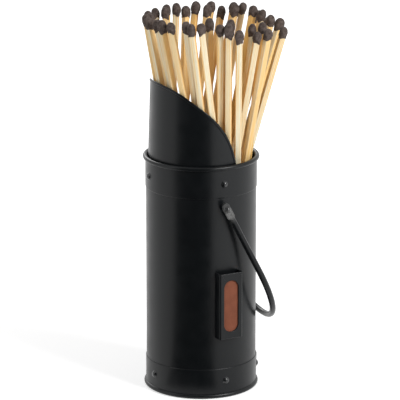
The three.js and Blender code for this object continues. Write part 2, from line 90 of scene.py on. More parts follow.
def mesh_of(name, sheets, uvs=None, crease=STEEL_CREASE):
    """One mesh from grid sheets. A sheet is an array of rows of points, and four neighbours make a face.
    Points that meet are merged, so a sheet that ends where it starts closes, and a row drawn to one point is
    a pole. Where the sheets have UVs, a sheet's number is its faces' material slot."""
    points, faces, slots, first = [], [], [], 0
    for number, sheet in enumerate(sheets):
        rows, columns = sheet.shape[:2]
        index = first + np.arange(rows * columns).reshape(rows, columns)
        quads = np.stack([index[:-1, :-1], index[:-1, 1:], index[1:, 1:], index[1:, :-1]], axis=-1)
        points.append(sheet.reshape(-1, 3))
        faces.append(quads.reshape(-1, 4))
        slots.append(np.full(len(faces[-1]), number if uvs else 0))
        first += rows * columns
    points, faces = np.concatenate(points), np.concatenate(faces)
    mesh = bpy.data.meshes.new(name)
    mesh.from_pydata(points.tolist(), [], faces.tolist())
    mesh.polygons.foreach_set("material_index", np.concatenate(slots).astype(np.int32))
    if uvs:
        corners = np.concatenate([uv.reshape(-1, 2) for uv in uvs])[faces.ravel()]
        mesh.uv_layers.new(name="UVMap").data.foreach_set("uv", corners.ravel())
    work = bmesh.new()
    work.from_mesh(mesh)
    bmesh.ops.remove_doubles(work, verts=work.verts, dist=MERGE_DISTANCE)
    bmesh.ops.recalc_face_normals(work, faces=work.faces)
    work.to_mesh(mesh)
    work.free()
    mesh.polygons.foreach_set("use_smooth", np.ones(len(mesh.polygons), dtype=bool))
    mesh.set_sharp_from_angle(angle=math.radians(crease))
    return mesh


def add_piece(mesh, materials, body, slot, *nodes):
    """A mesh as a piece of the object, with its materials, its body and the CAD nodes it stands for."""
    piece = bpy.data.objects.new(mesh.name, mesh)
    bpy.context.collection.objects.link(piece)
    for material in materials:
        mesh.materials.append(material)
    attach(piece, body)
    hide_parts(*nodes)


def new_group(name, outputs):
    """An empty shader node group with named outputs, each given as name and type, and its end node."""
    tree = bpy.data.node_groups.new(name, "ShaderNodeTree")
    for socket, kind in outputs.items():
        tree.interface.new_socket(socket, in_out="OUTPUT", socket_type=kind)
    return tree, tree.nodes.new("NodeGroupOutput")


def noise(tree, vector, scale, detail, roughness=0.5):
    """A noise node on a vector socket."""
    node = tree.nodes.new("ShaderNodeTexNoise")
    node.inputs["Scale"].default_value = scale
    node.inputs["Detail"].default_value = detail
    node.inputs["Roughness"].default_value = roughness
    tree.links.new(vector, node.inputs["Vector"])
    return node.outputs["Fac"]


def ranged(tree, value, source, target):
    """A value moved from one range to another and held inside it."""
    node = tree.nodes.new("ShaderNodeMapRange")
    tree.links.new(value, node.inputs["Value"])
    sockets = ("From Min", "From Max", "To Min", "To Max")
    for socket, number in zip(sockets, (*source, *target)):
        node.inputs[socket].default_value = number
    return node.outputs["Result"]


MIX_FIRST, MIX_SECOND, MIX_RESULT = 6, 7, 2


def between(tree, factor, first, second):
    """A colour between two, each a colour or a socket. A mix node's sockets for numbers and vectors have the
    same names as those for colours, so the colour sockets are picked by their place."""
    node = tree.nodes.new("ShaderNodeMix")
    node.data_type = "RGBA"
    tree.links.new(factor, node.inputs["Factor"])
    for socket, colour in zip((node.inputs[MIX_FIRST], node.inputs[MIX_SECOND]), (first, second)):
        if isinstance(colour, tuple):
            socket.default_value = (*colour, 1)
        else:
            tree.links.new(colour, socket)
    return node.outputs[MIX_RESULT]


FINISH = {"Colour": "NodeSocketColor", "Roughness": "NodeSocketFloat", "Height": "NodeSocketFloat"}
COAT_DARK = (0.0023, 0.0032, 0.0039)
COAT_LIGHT = (0.0045, 0.0055, 0.0063)
COAT_GLOSS = (0.28, 0.36)
COAT_SPECULAR = 0.25
COAT_BUMP, COAT_DEPTH = 0.12, 0.1 * MM
MOTTLE_SCALE, DIMPLE_SCALE = 90, 1500
MOTTLE_RANGE = (0.3, 0.7)


def powder_coat_group():
    """Satin powder coat: slow mottling of colour and gloss, and fine dimples from spraying and baking."""
    tree, out = new_group("powder_coat", FINISH)
    place = tree.nodes.new("ShaderNodeTexCoord").outputs["Object"]
    mottle = noise(tree, place, MOTTLE_SCALE, detail=3)
    dimples = noise(tree, place, DIMPLE_SCALE, detail=2)
    tree.links.new(between(tree, mottle, COAT_DARK, COAT_LIGHT), out.inputs["Colour"])
    tree.links.new(ranged(tree, mottle, MOTTLE_RANGE, COAT_GLOSS), out.inputs["Roughness"])
    tree.links.new(dimples, out.inputs["Height"])
    return tree


def finish_from(group, name, bump, distance, specular):
    """A material whose colour, roughness and bump come from a node group."""
    material = bpy.data.materials.new(name)
    material.use_nodes = True
    tree = material.node_tree
    shader = tree.nodes["Principled BSDF"]
    shader.inputs["Specular IOR Level"].default_value = specular
    effect = tree.nodes.new("ShaderNodeGroup")
    effect.node_tree = group
    relief = tree.nodes.new("ShaderNodeBump")
    relief.inputs["Strength"].default_value = bump
    relief.inputs["Distance"].default_value = distance
    tree.links.new(effect.outputs["Colour"], shader.inputs["Base Color"])
    tree.links.new(effect.outputs["Roughness"], shader.inputs["Roughness"])
    tree.links.new(effect.outputs["Height"], relief.inputs["Height"])
    tree.links.new(relief.outputs["Normal"], shader.inputs["Normal"])
    return material


coat_group = powder_coat_group()
black_coat = finish_from(coat_group, "black_powder_coat", COAT_BUMP, COAT_DEPTH, COAT_SPECULAR)
SEAM_AZIMUTH, SEAM_HALF, SEAM_EDGE, SEAM_RISE = 196, 2.6, 0.5, 0.35 * MM
seam_foot, seam_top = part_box("bottom_band")[1][2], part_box("top_band")[0][2]
tube_outline = np.array(
    [
        [TUBE_BORE, tube_low[2]],
        [TUBE_RADIUS, tube_low[2]],
        [TUBE_RADIUS, seam_foot - SEAM_RISE],
        [TUBE_RADIUS, seam_foot],
        [TUBE_RADIUS, seam_top],
        [TUBE_RADIUS, seam_top + SEAM_RISE],
        [TUBE_RADIUS, tube_high[2]],
        [TUBE_BORE, tube_high[2]],
    ]
)
seam_rows = np.array([0, 0, 0, 1, 1, 0, 0, 0])
seam_rise = SEAM_RISE * raised(fine_turns, SEAM_AZIMUTH, SEAM_HALF, SEAM_EDGE)
tube_sheet = turned(closed(tube_outline), np.radians(fine_turns))
tube_sheet[..., :2] *= 1 + np.outer(closed(seam_rows), seam_rise)[..., None] / TUBE_RADIUS
add_piece(mesh_of("rolled_tube", [tube_sheet]), [black_coat], "holder", "black_steel", "body_tube")

# Base pan
# A pressed steel disc that closes the tube's foot. Its flange steps out past the bead and is riveted inside
# the tube, and its flat underside is what the holder stands on.
pan_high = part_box("base_pan")[1]
PAN_RADIUS = pan_high[0]
PAN_FLOOR_RADIUS = 38.1 * MM
PAN_STEP = 3.7 * MM
PAN_CORNER, PAN_CORNER_STEPS = 0.6 * MM, 5
PAN_LEDGE = 0.4 * SHEET
pan_outline = np.concatenate(
    [
        [[0, 0]],
        arc((PAN_FLOOR_RADIUS - PAN_CORNER, PAN_CORNER), PAN_CORNER, -90, 0, PAN_CORNER_STEPS),
        [
            [PAN_FLOOR_RADIUS, PAN_STEP],
            [PAN_RADIUS, PAN_STEP + SHEET],
            [PAN_RADIUS, pan_high[2]],
            [PAN_RADIUS - SHEET, pan_high[2]],
            [PAN_RADIUS - SHEET, PAN_STEP + SHEET + PAN_LEDGE],
            [PAN_FLOOR_RADIUS - SHEET, PAN_STEP + PAN_LEDGE],
            [PAN_FLOOR_RADIUS - SHEET, SHEET],
            [0, SHEET],
        ],
    ]
)
pan = mesh_of("pressed_pan", [turned(pan_outline, around)])
add_piece(pan, [black_coat], "holder", "black_steel", "base_pan")

# Bands
# Two flat steel hoops round the tube's ends. The outer edge of each is rolled into a round bead, and the
# coat rounds over the other edge. The bottom hoop is lapped, with one rivet through the lap.
BAND_SHEET, BAND_GAP = 0.4 * MM, 0.05 * MM
BAND_INSIDE = TUBE_RADIUS + BAND_GAP
BAND_OUTSIDE = BAND_INSIDE + BAND_SHEET
BAND_EDGE_ROUND = 0.8 * MM
BEAD_RADIUS = 1.7 * MM
CURL_END = 225
BAND_EDGE_STEPS, BEAD_STEPS, HOLLOW_STEPS = 8, 22, 18
LAP_AZIMUTH, LAP_HALF, LAP_EDGE = 73, 7, 1.5
top_band_low, top_band_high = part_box("top_band")
bottom_band_low, bottom_band_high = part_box("bottom_band")


def band_outline(bead_reach, bead_end, edge, up):
    """A hoop's outline: a rounded edge, a flat side, then a bead at its upper (up = 1) or lower (up = -1)
    end. The edge is a quarter of an ellipse, and the bead is an arc that curls inwards, with a smaller arc
    inside it."""
    centre = np.array([bead_reach - BEAD_RADIUS, up * bead_end - BEAD_RADIUS])
    hollow = BEAD_RADIUS - BAND_SHEET
    outer_start = math.degrees(math.asin((BAND_OUTSIDE - centre[0]) / BEAD_RADIUS)) - 90
    inner_end = math.degrees(math.asin((BAND_INSIDE - centre[0]) / hollow)) - 90
    round_edge = arc((0, 0), 1, -90, 0, BAND_EDGE_STEPS) * (BAND_SHEET, BAND_EDGE_ROUND)
    outline = np.concatenate(
        [
            round_edge + (BAND_INSIDE, up * edge + BAND_EDGE_ROUND),
            arc(centre, BEAD_RADIUS, outer_start, CURL_END, BEAD_STEPS),
            arc(centre, hollow, CURL_END, inner_end, HOLLOW_STEPS),
        ]
    )
    return closed(outline) * (1, up)


top_outline = band_outline(top_band_high[0], top_band_high[2], top_band_low[2], 1)
top_band = mesh_of("top_hoop", [turned(top_outline, around)])
add_piece(top_band, [black_coat], "holder", "black_steel", "top_band")

lap_rise = BAND_SHEET * raised(fine_turns, LAP_AZIMUTH, LAP_HALF, LAP_EDGE)
bottom_outline = band_outline(bottom_band_high[0], bottom_band_low[2], bottom_band_high[2], -1)
on_side = bottom_outline[:, 1] > bottom_band_low[2] + 2 * BEAD_RADIUS
lap_rows = on_side & (bottom_outline[:, 0] > BAND_INSIDE)
bottom_sheet = turned(bottom_outline, np.radians(fine_turns))
bottom_sheet[..., :2] *= 1 + np.outer(lap_rows, lap_rise)[..., None] / TUBE_RADIUS
bottom_band = mesh_of("bottom_hoop", [bottom_sheet])
add_piece(bottom_band, [black_coat], "holder", "black_steel", "bottom_band")

# Scoop hood
# A slightly conical steel sheet that stands in the tube's mouth, high at the back of the scoop and cut on a
# slope. Its cut edge is folded over into a narrow hem, and the top rivets hold it to the tube.
HOOD_SHEET = 0.7 * MM
HOOD_TAPER = 0.03
HOOD_RIM_RADIUS = 38.35 * MM
HOOD_RIM_HEIGHT = 172.4 * MM
HOOD_SIDE_X, HOOD_SIDE_TOP = 11.8 * MM, 160 * MM
HOOD_BEND_X, HOOD_BEND_HEIGHT = -12.3 * MM, 213 * MM
HOOD_SLOPE = 0.84
HOOD_BACK_X, HOOD_LEVEL_X = -25 * MM, -48 * MM
HEM_WIDTH, HEM_RISE = 1.5 * MM, 0.4 * MM
FOOT_INSET = math.radians(10)
UPRIGHT_STEPS, EDGE_STEPS = 6, 60
hood_low, hood_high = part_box("scoop_hood")
HOOD_FOOT = hood_low[2]


def hood_radius(height):
    """The cone's outer radius at a height."""
    return HOOD_RIM_RADIUS - HOOD_TAPER * (height - HOOD_RIM_HEIGHT)


def slope_height(x):
    """Height of the edge's slope at a place: a straight line that turns into a parabola towards the back."""
    past = np.maximum(HOOD_BACK_X - x, 0)
    level = past**2 / (2 * (HOOD_BACK_X - HOOD_LEVEL_X))
    return HOOD_BEND_HEIGHT + HOOD_SLOPE * (HOOD_BEND_X - x - level)


def hood_edge():
    """Azimuths and heights along the cut edge's front half, from its upright side's foot to the back's top.
    Seen from the front the edge is an upright line, a quadratic curve and a slope that levels out."""
    upright_height = np.linspace(HOOD_FOOT, HOOD_SIDE_TOP, UPRIGHT_STEPS)
    upright = np.stack([np.full(UPRIGHT_STEPS, HOOD_SIDE_X), upright_height], axis=-1)
    control = (HOOD_SIDE_X, HOOD_BEND_HEIGHT - HOOD_SLOPE * (HOOD_SIDE_X - HOOD_BEND_X))
    t = np.linspace(0, 1, EDGE_STEPS)[1:, None]
    bend = (1 - t) ** 2 * (HOOD_SIDE_X, HOOD_SIDE_TOP) + 2 * t * (1 - t) * np.array(control)
    bend = bend + t**2 * (HOOD_BEND_X, HOOD_BEND_HEIGHT)
    back_x = -hood_radius(hood_high[2])
    reach = np.sin(np.linspace(0, math.pi / 2, EDGE_STEPS)[1:])
    slope_x = HOOD_BEND_X + (back_x - HOOD_BEND_X) * reach
    slope = np.stack([slope_x, slope_height(slope_x)], axis=-1)
    x, height = np.concatenate([upright, bend, slope]).T
    return np.arcsin(np.clip(x / hood_radius(height), -1, 1)), height


edge_azimuth, edge_height = hood_edge()
edge_azimuth = np.concatenate([edge_azimuth, -math.pi - edge_azimuth[-2::-1]])
edge_height = np.concatenate([edge_height, edge_height[-2::-1]])
edge = np.stack([edge_azimuth * HOOD_RIM_RADIUS, edge_height], axis=-1)
edge_run = np.gradient(edge, axis=0)
edge_run /= np.linalg.norm(edge_run, axis=-1, keepdims=True)
inward = np.stack([-edge_run[:, 1], edge_run[:, 0]], axis=-1)
foot_azimuth = np.linspace(edge_azimuth[0] - FOOT_INSET, edge_azimuth[-1] + FOOT_INSET, len(edge))
foot = np.stack([foot_azimuth * HOOD_RIM_RADIUS, np.full(len(edge), HOOD_FOOT)], axis=-1)
hem_half = (HOOD_SHEET + HEM_RISE) / 2
hem_middle = HEM_RISE - hem_half
FLAT_STEPS, ROUND_END_STEPS = 24, 5
round_end = np.radians(np.linspace(90, 0, ROUND_END_STEPS))


def hood_side(turned_out):
    """One face of the hood's sheet. Unrolled, its rows run from the foot to the hem and then square to the
    cut edge, where the hem's end is half a circle. Rolled up, the hem stands off the cone by its rise."""
    hem_distance = np.concatenate([[HEM_WIDTH + HEM_RISE, HEM_WIDTH], hem_half * (1 - np.cos(round_end))])
    hem = edge[:, None] + inward[:, None] * hem_distance[:, None]
    share = np.linspace(0, 1, FLAT_STEPS)[:-1, None]
    flat = foot[:, None] + (hem[:, :1] - foot[:, None]) * share
    place = np.concatenate([flat, hem], axis=1)
    side = 1 if turned_out else -1
    sheet_offset = 0 if turned_out else -HOOD_SHEET
    hem_offset = HEM_RISE if turned_out else -HOOD_SHEET
    end = hem_middle + side * hem_half * np.sin(round_end)
    offset = np.concatenate([np.full(FLAT_STEPS, sheet_offset), [hem_offset], end])
    azimuth, height = place[..., 0] / HOOD_RIM_RADIUS, place[..., 1]
    radius = hood_radius(height) + offset
    return np.stack([radius * np.sin(azimuth), -radius * np.cos(azimuth), height], axis=-1)


hood_outside, hood_inside = hood_side(True), hood_side(False)
hood_sheets = [
    hood_outside,
    hood_inside,
    np.stack([hood_outside[:, 0], hood_inside[:, 0]]),
    np.stack([hood_outside[0], hood_inside[0]]),
    np.stack([hood_outside[-1], hood_inside[-1]]),
]
hood = mesh_of("scoop_hood_sheet", hood_sheets)
add_piece(hood, [black_coat], "holder", "black_steel", "scoop_hood")

# Rivets
# Round-head steel rivets. The top ones pass through the band, the tube and the hood, and the bottom ones
# through the band, the tube and the base pan. All were coated with the rest after they were closed, and the
# coat lies smoother and shines more on their heads.
RIVET_HEAD_RADIUS, RIVET_HEAD_RISE = 2.6 * MM, 1.6 * MM
RIVET_SHANK_RADIUS, RIVET_TAIL_RADIUS, RIVET_TAIL_RISE = 1.2 * MM, 1.9 * MM, 0.8 * MM
HEAD_FOOT, HEAD_ARC, TAIL_END = 1.05, 0.93, 0.8
RIVET_STEPS, DOME_STEPS = 24, 9


def rivet_outline(seat, inner_seat, head_radius, head_rise, tail_radius):
    """A rivet's outline as (radius, distance from the tube's axis): flat tail, shank, and a head.
    The head is an arc, with a small sloped fillet of coating where it meets its seat."""
    dome_radius = (head_radius**2 + head_rise**2) / (2 * head_rise)
    dome_centre = seat + head_rise - dome_radius
    spread = math.degrees(math.asin(head_radius / dome_radius))
    dome = arc((0, dome_centre), dome_radius, 90 - HEAD_ARC * spread, 90, DOME_STEPS)
    tail = inner_seat - RIVET_TAIL_RISE
    start = [
        [0, tail],
        [tail_radius * TAIL_END, tail],
        [tail_radius, tail + RIVET_TAIL_RISE / 2],
        [tail_radius, inner_seat],
        [RIVET_SHANK_RADIUS, inner_seat],
        [RIVET_SHANK_RADIUS, seat],
        [head_radius * HEAD_FOOT, seat],
    ]
    outline = np.concatenate([start, dome])
    outline[-1, 0] = 0
    return outline


def on_wall(outline, azimuth, height):
    """A round piece whose axis points out of the tube at an azimuth and height."""
    local = turned(outline, np.radians(np.linspace(0, 360, RIVET_STEPS + 1)))
    along, up, out = local[..., 0], local[..., 1], local[..., 2]
    turn = math.radians(azimuth)
    x = out * math.sin(turn) + along * math.cos(turn)
    y = -out * math.cos(turn) + along * math.sin(turn)
    return np.stack([x, y, height + up], axis=-1)


def rivet_place(node):
    """A rivet's azimuth in degrees and its height, from its CAD node's box."""
    low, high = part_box(node)
    x, y, height = [(a + b) / 2 for a, b in zip(low, high)]
    return math.degrees(math.atan2(x, -y)), height


rivet_nodes = [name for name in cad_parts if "_band_rivet_" in name]
rivet_sheets = []
inner_seat = TUBE_BORE - 2 * SHEET
for node in rivet_nodes:
    seat = BAND_OUTSIDE + (BAND_SHEET if node.endswith("seam") else 0)
    azimuth, height = rivet_place(node)
    outline = rivet_outline(seat, inner_seat, RIVET_HEAD_RADIUS, RIVET_HEAD_RISE, RIVET_TAIL_RADIUS)
    rivet_sheets.append(on_wall(outline, azimuth, height))
RIVET_POLISH, RIVET_POLISH_ROUGHNESS, RIVET_BUMP = 0.7, 0.12, 0.05


def rivet_finish(group, name):
    """A coat from a node group, with the shine of a rivet's head."""
    material = finish_from(group, name, RIVET_BUMP, COAT_DEPTH, COAT_SPECULAR)
    shader = material.node_tree.nodes["Principled BSDF"]
    shader.inputs["Coat Weight"].default_value = RIVET_POLISH
    shader.inputs["Coat Roughness"].default_value = RIVET_POLISH_ROUGHNESS
    return material


rivet_coat = rivet_finish(coat_group, "rivet_powder_coat")
add_piece(mesh_of("band_rivets", rivet_sheets), [rivet_coat], "holder", "black_steel", *rivet_nodes)

# Bail pivots
# At each end of the bail a rivet passes through the flattened end, a short spacer that holds it off the
# tube, and the tube's wall. Turning has rubbed the coat grey round the pivots, and above their axis the grey
# is weaker: painted shade that keeps the upper part darker.
BAIL_SPREAD = 44.8 * MM
PIVOT_HEIGHT = rivet_place("pivot_rivet_front")[1]
PADDLE_THICKNESS = 2.2 * MM
PADDLE_PLAY = 0.2 * MM
PIVOT_HEAD_RADIUS, PIVOT_HEAD_RISE, PIVOT_TAIL_RADIUS = 2.3 * MM, 1.6 * MM, 2.2 * MM
SPACER_RADIUS, SPACER_BORE = 3.2 * MM, 1.7 * MM
EDGE_ROUND, EDGE_ROUND_STEPS = 0.3 * MM, 4


def ring_outline(bore, radius, low, high):
    """A flat ring's outline, with rounded outer edges."""
    outline = np.concatenate(
        [
            [[bore, low]],
            arc((radius - EDGE_ROUND, low + EDGE_ROUND), EDGE_ROUND, -90, 0, EDGE_ROUND_STEPS),
            arc((radius - EDGE_ROUND, high - EDGE_ROUND), EDGE_ROUND, 0, 90, EDGE_ROUND_STEPS),
            [[bore, high]],
        ]
    )
    return closed(outline)


pivot_sheets, pivot_nodes = [], []
for place in ("front", "rear"):
    azimuth = rivet_place(f"pivot_rivet_{place}")[0]
    seat = BAIL_SPREAD + PADDLE_THICKNESS / 2 + PADDLE_PLAY
    spacer_top = seat - PADDLE_THICKNESS - 2 * PADDLE_PLAY
    head = rivet_outline(seat, TUBE_BORE, PIVOT_HEAD_RADIUS, PIVOT_HEAD_RISE, PIVOT_TAIL_RADIUS)
    spacer = ring_outline(SPACER_BORE, SPACER_RADIUS, TUBE_RADIUS, spacer_top)
    pivot_sheets += [on_wall(outline, azimuth, PIVOT_HEIGHT) for outline in (head, spacer)]
    pivot_nodes += [f"pivot_{kind}_{place}" for kind in ("rivet", "spacer")]
RUBBED_GREY, RUBBED_ROUGHNESS = (0.15, 0.15, 0.147), 0.5
PATCH_SCALE, PATCH_RANGE, PATCH_WEAR = 900, (0.3, 0.6), (0.35, 1)


def calculated(tree, operation, first, second=None):
    """A math node's result, on sockets or plain numbers."""
    node = tree.nodes.new("ShaderNodeMath")
    node.operation = operation
    for socket, value in zip(node.inputs, (first, second)):
        if isinstance(value, bpy.types.NodeSocket):
            tree.links.new(value, socket)
        elif value is not None:
            socket.default_value = value
    return node.outputs[0]


def wear_and_shade_coat_group():
    """The powder coat, worn to a dull grey in small patches where its attribute is high. The attribute holds
    wear round the pivots, made weaker above their axis as painted shade.
    """
    tree, out = new_group("wear_and_shade_coat", FINISH)
    coat = tree.nodes.new("ShaderNodeGroup")
    coat.node_tree = coat_group
    place = tree.nodes.new("ShaderNodeTexCoord").outputs["Object"]
    wear_and_shade = tree.nodes.new("ShaderNodeAttribute")
    wear_and_shade.attribute_name = "wear_and_shade"
    patches = noise(tree, place, PATCH_SCALE, detail=3, roughness=0.6)
    patches = ranged(tree, patches, PATCH_RANGE, PATCH_WEAR)
    worn_and_shaded = calculated(tree, "MULTIPLY", wear_and_shade.outputs["Fac"], patches)
    tree.links.new(between(tree, worn_and_shaded, coat.outputs["Colour"], RUBBED_GREY), out.inputs["Colour"])
    tree.links.new(ranged(tree, worn_and_shaded, (0, 1), (COAT_GLOSS[0], RUBBED_ROUGHNESS)), out.inputs["Roughness"])
    tree.links.new(coat.outputs["Height"], out.inputs["Height"])
    return tree


wear_and_shade_group = wear_and_shade_coat_group()
pivot_coat = rivet_finish(wear_and_shade_group, "pivot_powder_coat")
PIVOT_RUB = 0.45
# Above the pivots' axis the wear mark fades: painted shade that keeps the upper part darker.
TOP_SHADE_LOW, TOP_SHADE_HIGH, TOP_SHADE_LEAST = -2 * MM, 1.5 * MM, 0.3


def eased(value, low, high):
    """0 below low, 1 above high, and a smooth S between."""
    share = np.clip((value - low) / (high - low), 0, 1)
    return share * share * (3 - 2 * share)


def mark_wear_and_shade(mesh, most, near, far):
    """Marks a mesh as worn by the distance from the pivots' axis: the most inside one distance, and not at
    all past another. Above the axis the mark is weaker: painted shade that leaves the upper part darker."""
    points = np.empty(3 * len(mesh.vertices))
    mesh.vertices.foreach_get("co", points)
    above = points[2::3] - PIVOT_HEIGHT
    from_axis = np.hypot(points[0::3], above)
    # Painted shade: the wear mark is weaker above the axis.
    top_shade = 1 - (1 - TOP_SHADE_LEAST) * eased(above, TOP_SHADE_LOW, TOP_SHADE_HIGH)
    mark = mesh.attributes.new("wear_and_shade", "FLOAT", "POINT")
    mark.data.foreach_set("value", most * top_shade * (1 - eased(from_axis, near, far)))


pivots = mesh_of("bail_pivots", pivot_sheets)
mark_wear_and_shade(pivots, most=PIVOT_RUB, near=HEAD_FOOT * PIVOT_HEAD_RADIUS, far=SPACER_RADIUS)
add_piece(pivots, [pivot_coat], "holder", "black_steel", *pivot_nodes)

# Bail handle
# One round steel rod bent to a deep U. Its ends are hammered flat and punched for the pivots, and the coat
# of the flats is rubbed grey like the pivots', with the same painted shade above their axis.
BAIL_ARM, BAIL_BOW = 56 * MM, 52 * MM
ROD_RADIUS = 2.25 * MM
PADDLE_HALF, PADDLE_ABOVE, PADDLE_BELOW = 2.85 * MM, 5.2 * MM, 6.9 * MM
NECK = 0.9 * MM
BAIL_REST = math.radians(27.5)
ROD_SIDES = 20
END_STEPS, FLAT_ROWS, NECK_STEPS, ARM_STEPS, BOW_STEPS = 10, 5, 7, 14, 81
FLAT_POWER, ROD_POWER, END_BLUNTNESS = 5, 2, 3
RUBBED_BUMP = 0.15
arm_drop = np.concatenate(
    [
        -PADDLE_ABOVE * np.cos(np.linspace(0, math.pi / 2, END_STEPS))[:-1],
        np.linspace(0, PADDLE_BELOW, FLAT_ROWS),
        PADDLE_BELOW + NECK * np.linspace(0, 1, NECK_STEPS)[1:],
        np.linspace(PADDLE_BELOW + NECK, BAIL_ARM, ARM_STEPS)[1:],
    ]
)
bow = np.linspace(0, math.pi, BOW_STEPS)[1:-1]
drop = np.concatenate([arm_drop, BAIL_ARM + BAIL_BOW * np.sin(bow), arm_drop[::-1]])
across = BAIL_SPREAD * np.concatenate([-np.ones(len(arm_drop)), -np.cos(bow), np.ones(len(arm_drop))])
to_rod = eased(drop, PADDLE_BELOW, PADDLE_BELOW + NECK)
line = np.stack([0 * drop, across, -drop], axis=-1)
tangent = np.gradient(np.stack([across, -drop], axis=-1), axis=0)
tangent /= np.linalg.norm(tangent, axis=-1, keepdims=True)
in_plane = np.stack([0 * drop, tangent[:, 1], -tangent[:, 0]], axis=-1)
into_end = np.minimum(drop + PADDLE_ABOVE - PADDLE_HALF, 0)
end_round = np.sqrt(np.clip(1 - (into_end / PADDLE_HALF) ** 2, 0, 1))
half_wide = (PADDLE_HALF + (ROD_RADIUS - PADDLE_HALF) * to_rod) * end_round
half_thick = PADDLE_THICKNESS / 2 + (ROD_RADIUS - PADDLE_THICKNESS / 2) * to_rod
half_thick *= np.minimum(END_BLUNTNESS * end_round, 1)
squareness = 1 / (FLAT_POWER + (ROD_POWER - FLAT_POWER) * to_rod)
section = np.radians(np.linspace(0, 360, ROD_SIDES + 1))
wide = np.sign(np.cos(section)) * np.abs(np.cos(section)) ** (2 * squareness[:, None])
thick = np.sign(np.sin(section)) * np.abs(np.sin(section)) ** (2 * squareness[:, None])
rod = line[:, None] + in_plane[:, None] * (half_thick[:, None] * thick)[..., None]
rod[..., 0] += half_wide[:, None] * wide
swung = rod.copy()
swung[..., 0] = rod[..., 0] * math.cos(BAIL_REST) - rod[..., 2] * math.sin(BAIL_REST)
swung[..., 2] = rod[..., 0] * math.sin(BAIL_REST) + rod[..., 2] * math.cos(BAIL_REST) + PIVOT_HEIGHT
bail_mesh = mesh_of("bail_rod", [swung])
mark_wear_and_shade(bail_mesh, most=1, near=PADDLE_BELOW, far=PADDLE_BELOW + 2 * NECK)
wear_and_shade_coat = finish_from(wear_and_shade_group, "wear_and_shade_powder_coat", RUBBED_BUMP, COAT_DEPTH, COAT_SPECULAR)
add_piece(bail_mesh, [wear_and_shade_coat], "bail", "black_steel", "bail_handle")

# Striker frame
# A pocket folded from one piece of sheet: a face with a long round-ended window, two sides and a floor. It
# is open at the top, where the coat rounds over the cut edge. Tabs on its sides pass through slots in the
# tube and are bent over inside.
STRIKER_TURN = math.radians(3.5)
FRAME_HALF, FRAME_DEPTH = 9.15 * MM, 6.4 * MM
FRAME_FRONT = TUBE_RADIUS + FRAME_DEPTH
WINDOW_HALF = 5.75 * MM
WINDOW_FOOT, WINDOW_TOP = 51.6 * MM, 90.1 * MM
FOLD = 1.1 * MM
CUT_ROUND, LIP_ROUND, FLAT_MARGIN = 0.25 * MM, 0.5 * MM, 0.15 * MM
WINDOW_STEPS, FOLD_STEPS, CUT_STEPS, LIP_STEPS, POCKET_FLOOR_STEPS = 25, 7, 4, 7, 13
TAB_MIDDLES = (54.2 * MM, 81.3 * MM)
TAB_HALF, TAB_LIP, TAB_REACH = 2.5 * MM, 3 * MM, 2.4 * MM
TAB_END = TUBE_BORE - TAB_REACH
frame_low, frame_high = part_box("striker_frame")
FRAME_FOOT, FRAME_TOP = frame_low[2], frame_high[2]


def facing_striker(x, out, height):
    """Points given along the wall, out from the tube's axis and up, turned to the striker's azimuth."""
    turned_x = x * math.cos(STRIKER_TURN) + out * math.sin(STRIKER_TURN)
    turned_y = x * math.sin(STRIKER_TURN) - out * math.cos(STRIKER_TURN)
    return np.stack(np.broadcast_arrays(turned_x, turned_y, height), axis=-1)


LEAST_SLANT = 1e-9


def face_ring(side_x, low, high):
    """Loops of the face's window and of its outline, point for point: each point of the window looks
    straight out at one of the outline, and the outline's corners are among them."""
    centres = (WINDOW_TOP - WINDOW_HALF, WINDOW_FOOT + WINDOW_HALF)
    window, outline = [], []
    for centre, first, far in ((centres[0], 0, high), (centres[1], math.pi, low)):
        corner = math.atan2(abs(far - centre), side_x)
        angle = first + np.sort(np.append(np.linspace(0, math.pi, WINDOW_STEPS), [corner, math.pi - corner]))
        ray = np.stack([np.cos(angle), np.sin(angle)], axis=-1)
        slant = np.maximum(np.abs(ray), LEAST_SLANT)
        reach = np.minimum(side_x / slant[:, 0], abs(far - centre) / slant[:, 1])
        window.append(ray * WINDOW_HALF + (0, centre))
        outline.append(ray * reach[:, None] + (0, centre))
    return closed(np.concatenate(window)), closed(np.concatenate(outline))


face_x = FRAME_HALF - FOLD
window_loop, face_loop = face_ring(face_x, FRAME_FOOT + FOLD, FRAME_TOP)
cut_round = arc((0, 0), CUT_ROUND, 180, 90, CUT_STEPS) + (CUT_ROUND, -CUT_ROUND)
face_out = face_loop - window_loop
face_out /= np.linalg.norm(face_out, axis=-1, keepdims=True)
front_edge = window_loop[None] + face_out[None] * cut_round[:, :1, None]
flat_start = window_loop + face_out * (CUT_ROUND + FLAT_MARGIN)
at_top = face_loop[:, 1] > FRAME_TOP - LIP_ROUND / 2
lip_turn = np.radians(np.linspace(0, 90, LIP_STEPS))
lip_drop = np.outer(np.append(LIP_ROUND + FLAT_MARGIN, LIP_ROUND * (1 - np.sin(lip_turn))), at_top)
lip_depth = np.outer(np.append(0, LIP_ROUND * (np.cos(lip_turn) - 1)), at_top)
lip_rows = face_loop - lip_drop[..., None] * (0, 1)
face_rows = np.concatenate([front_edge, [flat_start], lip_rows, [face_loop, window_loop], front_edge[:1]])
level = np.zeros(len(face_loop))
back_depth = [level - SHEET, level - SHEET, level + cut_round[0, 1]]
face_depth = FRAME_FRONT + np.concatenate([cut_round[:, 1:] + level, [level], lip_depth, back_depth])
frame_ends = np.array([FRAME_FOOT, FRAME_TOP])
frame_sheets = [facing_striker(face_rows[..., 0], face_depth, face_rows[..., 1])]
fold_outer = arc((face_x, FRAME_FRONT - FOLD), FOLD, 90, 0, FOLD_STEPS)
fold_inner = arc((face_x, FRAME_FRONT - FOLD), FOLD - SHEET, 0, 90, FOLD_STEPS)
wall_foot = math.sqrt(TUBE_RADIUS**2 - face_x**2)
side_x, inner_x = FRAME_HALF, FRAME_HALF - SHEET
